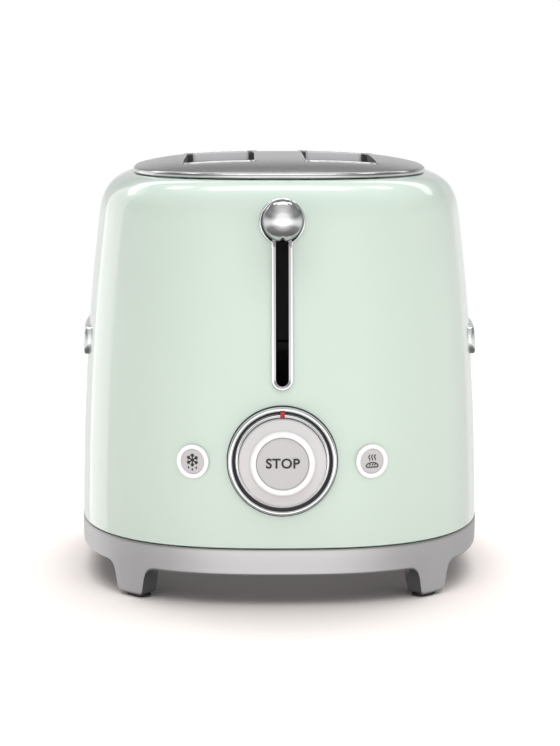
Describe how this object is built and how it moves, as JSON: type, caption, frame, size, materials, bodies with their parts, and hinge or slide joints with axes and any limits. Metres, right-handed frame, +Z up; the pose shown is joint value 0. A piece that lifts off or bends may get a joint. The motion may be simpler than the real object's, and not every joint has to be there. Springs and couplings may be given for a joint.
{
  "type": "pop-up toaster",
  "caption": "Retro two-slot pop-up toaster with a glossy pastel green shell, domed steel top, steel base on splayed feet, chrome ball lever, browning dial and push buttons.",
  "frame": {"origin": "middle of the footprint's bounding box, on the worktop", "axes": "+Z up, -Y towards the control end with lever and dial, +X to the right seen from the control end"},
  "size_m": [0.195, 0.3144, 0.2039],
  "materials": {
    "paint": "high gloss pastel green",
    "plate_steel": "satin brushed",
    "skirt_steel": "satin polished",
    "chrome": "mirror",
    "knob_white": "gloss",
    "button_grey": "satin",
    "pointer_red": "gloss",
    "rubber": "matt",
    "inner_steel": "plain sheet",
    "wire_steel": "drawn wire",
    "black_plastic": "matt",
    "mica": "mica sheet",
    "circuit_board": "solder mask"
  },
  "bodies": {
    "chassis": {"body_shell": "paint", "top_plate": "plate_steel", "base_skirt": "skirt_steel", "slot_collar_left": "chrome", "slot_collar_right": "chrome", "lever_bezel": "chrome", "dial_bezel": "chrome", "side_trim_left": "chrome", "side_trim_right": "chrome", "defrost_bezel": "knob_white", "reheat_bezel": "knob_white", "foot_pad_front_left": "rubber", "foot_pad_front_right": "rubber", "foot_pad_rear_left": "rubber", "foot_pad_rear_right": "rubber", "cord_gland": "rubber", "bottom_plate": "inner_steel", "front_end_plate": "inner_steel", "rear_end_plate": "inner_steel", "reflector_left": "inner_steel", "reflector_right": "inner_steel", "base_screw_front_left": "inner_steel", "base_screw_front_right": "inner_steel", "base_screw_rear_left": "inner_steel", "base_screw_rear_right": "inner_steel", "guide_rod_left": "inner_steel", "guide_rod_right": "inner_steel", "return_spring": "wire_steel", "browning_control": "black_plastic", "stop_switch": "black_plastic", "defrost_switch": "black_plastic", "reheat_switch": "black_plastic", "latch_magnet": "black_plastic", "heater_inner_left": "mica", "heater_inner_right": "mica", "heater_outer_left": "mica", "heater_outer_right": "mica", "control_board": "circuit_board"},
    "lever": {"lever_knob": "chrome", "lever_arm": "black_plastic", "carriage_plate": "inner_steel", "latch_keeper": "inner_steel", "bread_carriage": "inner_steel"},
    "dial": {"dial_knob": "knob_white", "dial_collar": "chrome", "dial_pointer": "pointer_red", "dial_shaft": "black_plastic"},
    "stop": {"stop_button": "button_grey"},
    "defrost": {"defrost_button": "button_grey"},
    "reheat": {"reheat_button": "button_grey"},
    "tray": {"crumb_tray": "inner_steel", "crumb_tray_handle": "skirt_steel"},
    "guard_inner_left": {"bread_guard_inner_left": "wire_steel"},
    "guard_inner_right": {"bread_guard_inner_right": "wire_steel"},
    "guard_outer_left": {"bread_guard_outer_left": "wire_steel"},
    "guard_outer_right": {"bread_guard_outer_right": "wire_steel"}
  },
  "joints": [
    {"name": "lever_slide", "type": "slide", "parent": "chassis", "child": "lever", "axis": [0, 0, 1], "range_m": [-0.0718, 0], "stiffness_N_per_m": 60, "springref_m": 0.06, "deforming": ["return_spring"]},
    {"name": "dial_turn", "type": "hinge", "parent": "chassis", "child": "dial", "pos_m": [0, -0.13825, 0.0678], "axis": [0, -1, 0], "range_deg": [-135, 135]},
    {"name": "stop_press", "type": "slide", "parent": "chassis", "child": "stop", "axis": [0, 1, 0], "range_m": [0, 0.0018], "stiffness_N_per_m": 600},
    {"name": "defrost_press", "type": "slide", "parent": "chassis", "child": "defrost", "axis": [0.3592, 0.9332, 0], "range_m": [0, 0.0015], "stiffness_N_per_m": 600},
    {"name": "reheat_press", "type": "slide", "parent": "chassis", "child": "reheat", "axis": [-0.3592, 0.9332, 0], "range_m": [0, 0.0015], "stiffness_N_per_m": 600},
    {"name": "tray_slide", "type": "slide", "parent": "chassis", "child": "tray", "axis": [0, 1, 0], "range_m": [0, 0.15]},
    {"name": "guard_outer_left_slide", "type": "slide", "parent": "chassis", "child": "guard_outer_left", "axis": [1, 0, 0], "range_m": [0, 0.01]},
    {"name": "guard_inner_left_slide", "type": "slide", "parent": "chassis", "child": "guard_inner_left", "axis": [-1, 0, 0], "range_m": [0, 0.01]},
    {"name": "guard_outer_right_slide", "type": "slide", "parent": "chassis", "child": "guard_outer_right", "axis": [-1, 0, 0], "range_m": [0, 0.01]},
    {"name": "guard_inner_right_slide", "type": "slide", "parent": "chassis", "child": "guard_inner_right", "axis": [1, 0, 0], "range_m": [0, 0.01]}
  ],
  "couplings": [
    {"joint": "guard_outer_left_slide", "follows": "lever_slide", "ratio": -0.135},
    {"joint": "guard_inner_left_slide", "follows": "lever_slide", "ratio": -0.135},
    {"joint": "guard_outer_right_slide", "follows": "lever_slide", "ratio": -0.135},
    {"joint": "guard_inner_right_slide", "follows": "lever_slide", "ratio": -0.135}
  ]
}
